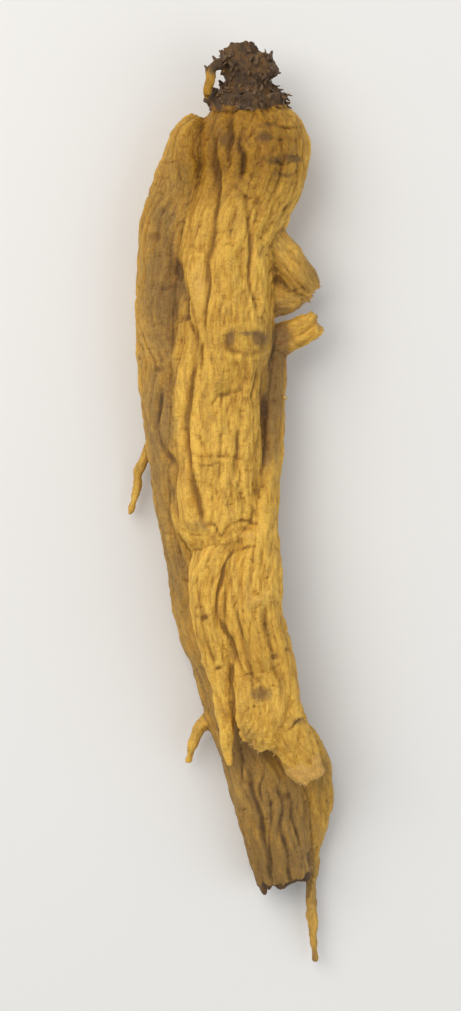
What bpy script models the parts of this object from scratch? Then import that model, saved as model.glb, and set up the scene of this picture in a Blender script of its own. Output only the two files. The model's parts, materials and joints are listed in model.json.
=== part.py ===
# Dried ginseng root, lying on its back on the plane z = 0.
# The crown points to +Y, the legs to -Y, and the side that shows faces +Z.
# Tables are in millimetres, from a point in the middle of the trunk.
# The finished mesh is in metres, with the origin under the middle of its box.

import bmesh
import bpy
import numpy as np
from mathutils import Vector, noise

MM = 0.001

# Driving sizes
TRUNK_WIDTH = 12.2
FLAT_SPOT_DEPTH = 0.4
SECTION_SIDES = 28
SECTION_SPACING = 0.9
MELT_VOXEL = 0.42
MELT_ROUNDS = 5
MELT_FACTOR = 0.5
TRIANGLES = 10400
NOISE_SEED = 4.7
BASE_COLOUR = (0.55, 0.36, 0.13, 1.0)
ROUGHNESS = 0.62

# Each limb is a row of sections: x, y, z of the centre, half width, half thickness.
HALF = TRUNK_WIDTH / 2
LIMBS = {
    # Round head, then the main column down to the crotch
    "trunk": [
        (2.9, 42.6, 6.8, 2.6, 2.4),
        (2.9, 41.4, 6.6, 4.9, 4.5),
        (3.0, 39.3, 6.5, 6.5, 6.0),
        (3.1, 36.4, 6.3, 7.1, 6.6),
        (2.9, 33.4, 6.3, 6.8, 6.5),
        (1.9, 30.2, 6.4, HALF + 0.2, 6.0),
        (0.4, 26.4, 6.9, HALF - 0.2, 5.7),
        (-0.3, 21.8, 7.2, HALF, 5.8),
        (-0.5, 14.6, 7.4, HALF + 0.2, 5.9),
        (-1.0, 7.3, 7.4, HALF + 0.1, 5.8),
        (-1.3, 0.0, 7.4, HALF - 0.1, 5.6),
        (-1.5, -6.1, 7.6, HALF - 0.3, 5.2),
        (-1.1, -10.6, 8.0, HALF - 0.9, 4.6),
        (-0.8, -13.2, 8.2, HALF - 2.6, 3.4),
        (0.4, -17.5, 7.4, HALF - 3.5, 2.6),
    ],
    # Left shoulder, running down behind the legs to a broken end
    "taproot": [
        (-3.2, 40.4, 6.0, 1.7, 2.0),
        (-4.2, 38.9, 5.9, 2.7, 3.1),
        (-4.8, 35.8, 5.6, 3.2, 3.7),
        (-5.8, 31.6, 5.0, 3.7, 4.2),
        (-6.9, 27.4, 4.6, 4.1, 4.5),
        (-7.4, 21.8, 4.5, 4.2, 4.6),
        (-7.5, 15.0, 4.6, 4.1, 4.5),
        (-7.0, 6.5, 5.0, 4.0, 4.4),
        (-6.0, -2.4, 5.0, 3.7, 4.1),
        (-5.2, -9.8, 4.6, 3.4, 3.6),
        (-4.1, -17.1, 3.9, 3.3, 3.1),
        (-2.2, -24.4, 3.5, 3.5, 3.0),
        (0.7, -31.7, 3.5, 4.1, 3.1),
        (3.7, -39.0, 3.6, 4.7, 3.5),
        (5.5, -45.1, 3.8, 4.7, 3.9),
        (6.1, -49.2, 3.8, 4.3, 3.8),
        (6.7, -52.6, 3.7, 3.9, 3.5),
        (7.5, -55.4, 3.6, 3.4, 3.1),
    ],
    # Thick leg, which starts as a strip along the trunk's right side
    "right_leg": [
        (6.2, 14.0, 4.6, 0.9, 1.4),
        (5.9, 11.7, 5.0, 1.5, 2.4),
        (5.6, 7.3, 5.4, 1.7, 3.0),
        (5.2, 0.0, 5.9, 1.8, 3.2),
        (4.6, -7.3, 7.0, 1.9, 3.3),
        (3.6, -12.2, 8.6, 2.9, 3.6),
        (3.0, -15.9, 9.2, 3.7, 3.5),
        (2.9, -19.5, 9.5, 3.9, 3.4),
        (3.8, -24.4, 10.0, 4.0, 3.4),
        (4.6, -29.3, 10.5, 4.1, 3.2),
        (4.9, -33.7, 10.8, 3.9, 2.9),
        (4.9, -36.0, 10.6, 3.1, 2.3),
        (5.0, -37.6, 10.3, 1.9, 1.5),
    ],
    # Broken tip of the thick leg, which leans to the right
    "leg_tip": [
        (5.4, -28.0, 10.6, 2.6, 2.4),
        (6.5, -33.0, 10.8, 2.7, 2.5),
        (8.1, -37.0, 10.7, 2.5, 2.1),
        (9.4, -39.6, 10.5, 2.3, 1.8),
        (10.3, -41.6, 10.2, 2.0, 1.5),
    ],
    # Thin leg, in front on the left
    "left_leg": [
        (0.0, -11.2, 9.3, 2.0, 2.0),
        (-1.3, -13.4, 9.8, 2.4, 2.2),
        (-2.0, -15.9, 10.0, 2.7, 2.3),
        (-2.3, -19.5, 10.0, 2.6, 2.3),
        (-1.8, -23.2, 10.0, 2.4, 2.3),
        (-1.0, -26.8, 9.9, 2.0, 1.9),
        (-0.5, -30.5, 9.8, 1.4, 1.5),
        (-0.2, -34.1, 9.7, 1.1, 1.2),
        (0.0, -37.4, 9.5, 0.8, 0.85),
        (0.2, -40.1, 9.3, 0.5, 0.5),
    ],
    # Short rhizome that the stem grew from, with a ragged collar at its foot
    "crown": [
        (2.7, 40.2, 6.8, 4.4, 4.2),
        (2.6, 42.0, 6.9, 4.7, 4.3),
        (2.5, 43.1, 6.9, 5.0, 4.4),
        (2.5, 43.9, 7.0, 3.7, 3.5),
        (2.4, 45.3, 7.2, 2.5, 2.5),
        (2.0, 46.9, 7.3, 2.9, 2.8),
        (1.5, 48.3, 7.4, 2.3, 2.3),
        (1.3, 49.4, 7.4, 2.2, 2.1),
    ],
    # Bowl-shaped stem scar on the crown
    "stem_scar": [
        (2.8, 44.8, 7.8, 1.3, 1.4),
        (4.0, 45.9, 8.8, 1.5, 1.5),
        (5.0, 46.7, 9.5, 1.8, 1.7),
        (5.4, 47.0, 9.8, 1.6, 1.5),
    ],
    "crown_rootlet": [
        (1.0, 46.0, 7.8, 0.8, 0.8),
        (-0.8, 46.8, 8.7, 0.7, 0.7),
        (-1.9, 46.2, 9.4, 0.65, 0.65),
        (-2.1, 44.6, 9.7, 0.7, 0.65),
        (-2.7, 42.4, 9.6, 0.4, 0.4),
    ],
    # Broken side roots on the right shoulder
    "side_root": [
        (2.6, 27.8, 6.4, 2.6, 3.0),
        (5.3, 25.0, 6.4, 2.5, 2.8),
        (7.8, 22.3, 6.3, 2.3, 2.4),
        (9.8, 20.1, 6.2, 1.9, 1.9),
        (11.0, 18.8, 6.1, 1.4, 1.4),
    ],
    "side_root_foot": [
        (4.2, 18.6, 5.6, 2.6, 2.4),
        (6.4, 18.0, 5.6, 2.3, 2.2),
        (8.4, 17.9, 5.8, 1.6, 1.7),
        (9.4, 18.0, 5.9, 1.0, 1.2),
    ],
    "side_chip": [
        (4.2, 11.8, 5.8, 2.0, 2.0),
        (6.6, 12.7, 6.1, 2.0, 1.6),
        (9.2, 13.9, 6.5, 1.9, 1.2),
        (11.5, 15.0, 6.9, 1.5, 0.9),
    ],
    # Branch on the taproot's right, which thins to a long tail
    "tail": [
        (6.0, -33.5, 4.2, 1.8, 1.8),
        (8.8, -36.8, 4.0, 2.2, 2.4),
        (10.7, -40.5, 3.7, 2.2, 2.4),
        (11.4, -44.6, 3.4, 2.0, 2.2),
        (11.2, -48.0, 3.0, 1.6, 1.8),
        (10.8, -51.0, 2.5, 1.1, 1.2),
        (10.7, -54.5, 2.2, 0.9, 0.9),
        (10.8, -60.0, 2.0, 0.75, 0.75),
        (11.2, -65.6, 1.8, 0.45, 0.45),
    ],
    # Thin rootlets
    "back_rootlet": [
        (-7.6, 1.5, 3.2, 1.5, 1.5),
        (-9.9, -0.9, 2.7, 0.85, 0.8),
        (-11.2, -3.4, 2.4, 0.6, 0.6),
        (-11.7, -6.3, 2.2, 0.6, 0.55),
        (-12.5, -9.0, 1.9, 0.35, 0.35),
    ],
    "leg_rootlet": [
        (0.4, -33.2, 3.9, 1.3, 1.3),
        (-3.6, -36.2, 3.3, 0.8, 0.8),
        (-5.0, -40.4, 2.7, 0.45, 0.45),
    ],
}

# Folds that run over the front, out to where it turns away: depth (minus for a ridge), half width, points.
FOLDS = [
    # Long furrow between the left and the middle column
    (0.6, 0.4, [(-6.4, 22.5), (-5.8, 20.0), (-5.1, 15.4), (-3.8, 13.0), (-3.3, 9.8), (-4.4, 6.5),
                (-5.0, 0.0), (-4.6, -3.9), (-3.7, -7.6), (-3.2, -10.4)]),
    (0.4, 0.4, [(-8.4, 6.2), (-8.3, 0.2), (-6.8, -3.5), (-6.6, -9.0), (-5.6, -12.6)]),
    (0.3, 0.4, [(1.3, 4.8), (1.4, 0.0), (1.2, -3.8)]),
    (0.6, 0.5, [(0.0, 41.5), (0.1, 37.0), (-0.6, 33.5)]),
    (0.5, 0.45, [(1.4, 40.5), (1.5, 38.3), (1.2, 36.6), (1.9, 35.2), (1.7, 31.5)]),
    (0.42, 0.45, [(-2.0, 38.4), (-1.9, 35.5), (-1.5, 33.0), (-1.0, 29.0), (-2.2, 24.5), (-2.7, 18.5)]),
    (0.35, 0.4, [(3.0, 31.0), (2.4, 27.0), (3.3, 23.5), (3.0, 19.5), (3.9, 16.0)]),
    # Raised flake on the left of the trunk
    (-0.22, 1.1, [(-4.0, 21.8), (-3.8, 19.0), (-3.2, 16.0)]),
    # Rings across the trunk
    (0.14, 0.2, [(-4.9, -1.5), (-3.4, -1.9), (-1.8, -1.6), (0.2, -2.0), (1.4, -1.7), (2.6, -2.2)]),
    (-0.12, 0.4, [(-4.9, -0.7), (-2.9, -1.1), (-1.0, -0.8), (1.0, -1.2), (2.4, -1.0)]),
    # Edge of the trunk, along the strip on its right
    (0.3, 0.3, [(5.7, 14.0), (4.9, 9.5), (4.5, 2.0), (4.3, -3.0)]),
    # End of the trunk, over the legs
    (0.22, 0.25, [(-3.4, -10.6), (-1.8, -10.4), (-0.7, -11.6), (0.4, -10.5), (1.9, -9.9), (4.0, -9.8)]),
    (-0.35, 0.45, [(0.2, -12.0), (1.6, -11.6), (2.9, -11.3), (4.0, -11.2)]),
    # Gap between the two front legs
    (0.3, 0.26, [(4.0, -12.7), (2.4, -12.9), (1.2, -13.6), (0.0, -14.8), (-0.9, -17.8), (-0.8, -21.0),
                 (0.0, -23.4), (0.6, -26.0), (0.9, -30.0), (1.1, -35.0)]),
    # Thick leg
    (-0.4, 0.5, [(2.0, -20.1), (3.6, -19.4), (5.2, -18.5)]),
    (0.35, 0.25, [(6.9, -35.2), (8.4, -34.6), (9.6, -34.0)]),
    (0.3, 0.35, [(1.1, -19.0), (1.6, -23.5), (2.6, -28.0), (3.4, -33.0)]),
    (0.3, 0.35, [(4.7, -21.0), (5.8, -25.8), (6.6, -31.0)]),
    # Taproot below the legs
    (0.5, 0.45, [(2.7, -41.0), (2.9, -44.0), (4.1, -47.5), (4.7, -52.0), (5.6, -55.6)]),
    (0.45, 0.45, [(6.0, -42.0), (6.9, -45.0), (6.6, -48.5), (7.7, -52.0), (8.4, -55.2)]),
]

LINE_SPACING = 0.4
FRONT_EDGE = 0.5      # upward part of the normal from which a fold has its full depth
FOLD_SWAY = 0.7       # how far a fold wanders from its line
FOLD_SWAY_PITCH = (3.0, 4.5)
FOLD_FADE = 0.9       # how much its depth comes and goes
FOLD_FADE_PITCH = (2.0, 4.0)

# Oval scars of lost rootlets: x, y, half width, half height.
SCARS = [(2.2, 12.2, 2.6, 1.7), (5.2, 46.9, 1.5, 1.4)]
# Their open ring and their lip: height, radius and width in shares of the scar's.
SCAR_RING = (-0.3, 0.85, 0.22)
SCAR_LIP = (0.15, 1.25, 0.22)

# Depth of the bowl in each broken end, inside its ragged rim.
BROKEN_ENDS = {"taproot": 1.6, "right_leg": 0.2, "leg_tip": 0.5, "side_root": 0.5, "side_chip": 0.4, "crown": 0.5}
RAGGED_RIM = 0.8
BOWL_RADIUS = 0.6     # in shares of the end's radius
RIM_REACH = 1.5

# Procedural wrinkles along each limb: pitch, height, stretch along the limb.
WRINKLES = [(3.2, 0.36, 4.5), (1.6, 0.34, 5.0)]
FULL_WRINKLE_WIDTH = 3.0
WRINKLE_SWAY = (2.2, -1.6)  # across and up
SWAY_PITCH = (9.0, 7.0)     # across and along
CREASE_SLOPE = 2.4
CREASE_POWER = 0.8
CREASE_LEVEL = 0.55
CREASE_SHARE = 0.6
SWELL_SHARE = 0.8
SWELL_SHIFT = Vector((31.0, 17.0, 5.0))
LIMB_SHIFT = 13.1

# How soon one limb's wrinkles give way to the next limb's, and the least share that counts.
BLEND_SHARPNESS = 6.0
LEAST_SHARE = 0.05


def through(rows, spacing):
    """Rows on one smooth curve through the given ones, about `spacing` apart."""
    rows = np.array(rows, float)
    steps = np.linalg.norm(np.diff(rows[:, :3], axis=0), axis=1)
    reach = np.concatenate([[0.0], np.cumsum(steps)])
    slopes = np.gradient(rows, reach, axis=0)
    at = np.linspace(0.0, reach[-1], max(3, round(reach[-1] / spacing) + 1))
    span = np.clip(np.searchsorted(reach, at, side="right") - 1, 0, len(reach) - 2)
    length = (reach[span + 1] - reach[span])[:, None]
    t = (at - reach[span])[:, None] / length
    return (
        (2 * t**3 - 3 * t**2 + 1) * rows[span]
        + (t**3 - 2 * t**2 + t) * length * slopes[span]
        + (3 * t**2 - 2 * t**3) * rows[span + 1]
        + (t**3 - t**2) * length * slopes[span + 1]
    )


def unit(vectors):
    return vectors / np.linalg.norm(vectors, axis=-1, keepdims=True)


class Limb:
    """A tapering tube through a row of sections, with the frame that its wrinkles follow."""

    def __init__(self, sections):
        rows = through(sections, SECTION_SPACING)
        self.centre, self.half = rows[:, :3], rows[:, 3:]
        steps = np.linalg.norm(np.diff(self.centre, axis=0), axis=1)
        self.along = np.concatenate([[0.0], np.cumsum(steps)])
        self.tangent = unit(np.gradient(self.centre, axis=0))
        self.side = unit(np.cross(self.tangent, (0.0, 0.0, 1.0)))
        self.up = np.cross(self.side, self.tangent)

    def mesh(self, name):
        turn = np.linspace(0.0, 2 * np.pi, SECTION_SIDES, endpoint=False)
        bm = bmesh.new()
        rings = []
        for centre, side, up, (width, thickness) in zip(self.centre, self.side, self.up, self.half):
            ring = [centre + side * width * np.cos(a) + up * thickness * np.sin(a) for a in turn]
            rings.append([bm.verts.new(point) for point in ring])
        for lower, upper in zip(rings, rings[1:]):
            for i in range(SECTION_SIDES):
                j = (i + 1) % SECTION_SIDES
                bm.faces.new((lower[i], lower[j], upper[j], upper[i]))
        bm.faces.new(rings[0])
        bm.faces.new(rings[-1])
        bmesh.ops.recalc_face_normals(bm, faces=bm.faces)
        mesh = bpy.data.meshes.new(name)
        bm.to_mesh(mesh)
        bm.free()
        return mesh

    def coordinates(self, points):
        """How many radii each point is from the axis, its place across, up and along, and the width there."""
        gap = points[:, None, :] - self.centre[None, :, :]
        nearest = np.argmin((gap**2).sum(axis=2), axis=1)
        offset = gap[np.arange(len(points)), nearest]
        side, up, tangent = self.side[nearest], self.up[nearest], self.tangent[nearest]
        across = (offset * side).sum(axis=1)
        above = (offset * up).sum(axis=1)
        beyond = (offset * tangent).sum(axis=1)
        width, thickness = self.half[nearest].T
        radii = np.sqrt((across / width) ** 2 + (above / thickness) ** 2 + (beyond / width) ** 2)
        return radii, across, above, self.along[nearest] + beyond, width


def clear_scene():
    for obj in list(bpy.data.objects):
        bpy.data.objects.remove(obj)


def new_object(name, mesh, collection=None):
    obj = bpy.data.objects.new(name, mesh)
    (collection or bpy.context.scene.collection).objects.link(obj)
    return obj


def apply_modifiers(obj):
    graph = bpy.context.evaluated_depsgraph_get()
    made = bpy.data.meshes.new_from_object(obj.evaluated_get(graph))
    obj.modifiers.clear()
    obj.data = made


def melted_limbs(limbs):
    """One closed skin round every limb, with the forks softened."""
    names = list(limbs)
    root = new_object("ginseng_root", limbs[names[0]].mesh(names[0]))
    others = bpy.data.collections.new("limbs")
    bpy.context.scene.collection.children.link(others)
    for name in names[1:]:
        new_object(name, limbs[name].mesh(name), others)
    union = root.modifiers.new("join_limbs", "BOOLEAN")
    union.operation = "UNION"
    union.operand_type = "COLLECTION"
    union.collection = others
    union.solver = "EXACT"
    melt = root.modifiers.new("melt", "REMESH")
    melt.mode = "VOXEL"
    melt.voxel_size = MELT_VOXEL
    soften = root.modifiers.new("soften", "SMOOTH")
    soften.factor = MELT_FACTOR
    soften.iterations = MELT_ROUNDS
    apply_modifiers(root)
    for obj in list(others.objects):
        bpy.data.objects.remove(obj)
    bpy.data.collections.remove(others)
    return root


def distance_to_line(points, line):
    """Distance in plan from each point to a line through a few points."""
    rows = through([(x, y, 0.0) for x, y in line], LINE_SPACING)[:, :2]
    start, step = rows[:-1], np.diff(rows, axis=0)
    gap = points[:, None, :2] - start[None]
    share = (gap * step).sum(axis=2) / (step**2).sum(axis=1)
    foot = np.clip(share, 0.0, 1.0)[..., None] * step
    return np.sqrt(((gap - foot) ** 2).sum(axis=2).min(axis=1))


def swayed_plan(points):
    """Places in plan, moved so that no fold runs quite straight, and how deep a fold is there."""
    plan = points[:, :2].copy()
    depth = np.ones(len(points))
    for i, (x, y, _) in enumerate(points):
        across, along = x / FOLD_SWAY_PITCH[0], y / FOLD_SWAY_PITCH[1]
        plan[i, 0] += FOLD_SWAY * noise.noise(Vector((across, along, 1.3)))
        plan[i, 1] += FOLD_SWAY * noise.noise(Vector((across, along, 5.1)))
        depth[i] += FOLD_FADE * noise.noise(Vector((x / FOLD_FADE_PITCH[0], y / FOLD_FADE_PITCH[1], 7.7)))
    return plan, depth


def bell(distance, width):
    return np.exp(-((distance / width) ** 2))


def front_folds(points, normals):
    """Height of the furrows, rings and scars that show on the front."""
    facing = np.clip(normals[:, 2] / FRONT_EDGE, 0.0, 1.0)
    plan, fade = swayed_plan(points)
    height = np.zeros(len(points))
    for depth, half_width, line in FOLDS:
        height -= depth * fade * bell(distance_to_line(plan, line), half_width)
    for x, y, half_width, half_height in SCARS:
        radius = np.hypot((points[:, 0] - x) / half_width, (points[:, 1] - y) / half_height)
        turn = np.arctan2(points[:, 1] - y, points[:, 0] - x)
        open_ring = 0.5 + 0.5 * np.sin(2 * turn + 1.0)
        for (rise, ring_radius, width), part in ((SCAR_RING, open_ring), (SCAR_LIP, 1.0)):
            height += rise * part * bell(radius - ring_radius, width)
    return height * facing


def broken_ends(points, normals, limbs):
    """Height of the ragged rims and shallow bowls where limbs have snapped off."""
    height = np.zeros(len(points))
    for name, bowl in BROKEN_ENDS.items():
        limb = limbs[name]
        offset = points - limb.centre[-1]
        across, above = offset @ limb.side[-1], offset @ limb.up[-1]
        width, thickness = limb.half[-1]
        radius = np.hypot(across / width, above / thickness)
        facing = np.clip(normals @ limb.tangent[-1], 0.0, 1.0)
        near = (radius < RIM_REACH) & (np.abs(offset @ limb.tangent[-1]) < width)
        for i in np.flatnonzero(near):
            ragged = noise.noise(Vector((across[i], above[i], NOISE_SEED)))
            height[i] += facing[i] * (RAGGED_RIM * ragged - bowl * bell(radius[i], BOWL_RADIUS))
    return height


def wrinkle(across, above, along, limb_number):
    """Creases between rounded ridges that run along the limb."""
    shift = NOISE_SEED + LIMB_SHIFT * limb_number
    sway = noise.noise(Vector((across / SWAY_PITCH[0], above / SWAY_PITCH[0] + shift, along / SWAY_PITCH[1])))
    height = 0.0
    for pitch, rise, stretch in WRINKLES:
        place = Vector((
            (across + WRINKLE_SWAY[0] * sway) / pitch + shift,
            (above + WRINKLE_SWAY[1] * sway) / pitch,
            along / (pitch * stretch) - shift,
        ))
        crease = min(1.0, CREASE_SLOPE * abs(noise.noise(place))) ** CREASE_POWER - CREASE_LEVEL
        swell = noise.noise(place + SWELL_SHIFT)
        height += rise * (CREASE_SHARE * crease + SWELL_SHARE * swell)
    return height


def limb_wrinkles(points, limbs):
    """Wrinkles of each limb, blended where two limbs meet."""
    found = [limb.coordinates(points) for limb in limbs.values()]
    radii = np.array([row[0] for row in found])
    weight = np.exp(-BLEND_SHARPNESS * (radii - radii.min(axis=0)))
    weight[weight < LEAST_SHARE] = 0.0
    weight /= weight.sum(axis=0)
    height = np.zeros(len(points))
    for number, (_, across, above, along, width) in enumerate(found):
        share = weight[number] * np.minimum(1.0, width / FULL_WRINKLE_WIDTH)
        for i in np.flatnonzero(share):
            height[i] += share[i] * wrinkle(across[i], above[i], along[i], number)
    return height


def vertex_array(mesh, attribute):
    values = np.empty(len(mesh.vertices) * 3, np.float32)
    mesh.vertices.foreach_get(attribute, values)
    return values.reshape(-1, 3).astype(float)


def wrinkle_skin(root, limbs):
    points = vertex_array(root.data, "co")
    normals = vertex_array(root.data, "normal")
    height = front_folds(points, normals) + broken_ends(points, normals, limbs)
    height += limb_wrinkles(points, limbs)
    points += normals * height[:, None]
    root.data.vertices.foreach_set("co", points.ravel())


def thin_out(root):
    """Fewer, larger triangles, close to the wrinkled skin."""
    triangulate = root.modifiers.new("triangles", "TRIANGULATE")
    triangulate.quad_method = "BEAUTY"
    apply_modifiers(root)
    fewer = root.modifiers.new("fewer_triangles", "DECIMATE")
    fewer.ratio = TRIANGLES / len(root.data.polygons)
    apply_modifiers(root)


def lay_down(root):
    """Presses the lowest parts flat on z = 0, centres the box and brings the mesh to metres."""
    points = vertex_array(root.data, "co")
    points[:, 2] = np.maximum(points[:, 2] - points[:, 2].min() - FLAT_SPOT_DEPTH, 0.0)
    points[:, :2] -= (points[:, :2].min(axis=0) + points[:, :2].max(axis=0)) / 2
    root.data.vertices.foreach_set("co", (points * MM).ravel())
    root.data.update()


def skin_material():
    material = bpy.data.materials.new("root_skin")
    material.use_nodes = True
    shader = material.node_tree.nodes["Principled BSDF"]
    shader.inputs["Base Color"].default_value = BASE_COLOUR
    shader.inputs["Roughness"].default_value = ROUGHNESS
    shader.inputs["Metallic"].default_value = 0.0
    return material


def main():
    clear_scene()
    limbs = {name: Limb(sections) for name, sections in LIMBS.items()}
    root = melted_limbs(limbs)
    wrinkle_skin(root, limbs)
    thin_out(root)
    lay_down(root)
    root.data.materials.clear()
    root.data.materials.append(skin_material())
    root.data.shade_smooth()


main()
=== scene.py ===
import json
import math

import bmesh
import bpy
import numpy as np
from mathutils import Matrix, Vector, noise

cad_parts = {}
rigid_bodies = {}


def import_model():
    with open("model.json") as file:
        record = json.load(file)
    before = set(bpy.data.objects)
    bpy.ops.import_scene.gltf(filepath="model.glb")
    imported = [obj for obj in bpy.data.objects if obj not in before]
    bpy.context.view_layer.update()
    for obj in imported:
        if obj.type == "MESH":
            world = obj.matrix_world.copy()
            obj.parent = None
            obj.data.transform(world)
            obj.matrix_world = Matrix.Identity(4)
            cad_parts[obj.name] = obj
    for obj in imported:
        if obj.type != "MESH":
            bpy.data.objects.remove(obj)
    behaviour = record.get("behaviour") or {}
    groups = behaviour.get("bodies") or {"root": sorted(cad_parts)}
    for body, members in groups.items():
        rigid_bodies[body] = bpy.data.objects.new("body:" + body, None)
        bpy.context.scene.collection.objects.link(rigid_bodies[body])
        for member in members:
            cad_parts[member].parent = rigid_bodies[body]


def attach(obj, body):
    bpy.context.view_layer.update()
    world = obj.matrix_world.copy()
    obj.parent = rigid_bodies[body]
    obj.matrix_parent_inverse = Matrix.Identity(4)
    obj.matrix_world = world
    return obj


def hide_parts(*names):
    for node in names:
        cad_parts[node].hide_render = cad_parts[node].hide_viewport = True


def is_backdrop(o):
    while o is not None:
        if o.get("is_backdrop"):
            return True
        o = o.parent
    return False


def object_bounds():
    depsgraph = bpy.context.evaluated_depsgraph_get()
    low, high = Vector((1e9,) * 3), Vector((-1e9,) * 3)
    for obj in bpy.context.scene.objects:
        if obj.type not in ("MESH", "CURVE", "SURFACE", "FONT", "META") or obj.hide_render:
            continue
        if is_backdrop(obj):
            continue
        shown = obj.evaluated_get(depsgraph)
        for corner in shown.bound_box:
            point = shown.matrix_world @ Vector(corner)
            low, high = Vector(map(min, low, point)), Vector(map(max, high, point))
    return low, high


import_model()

cadLow, cadHigh = (np.array(corner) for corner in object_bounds())
mm = 0.001

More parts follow.
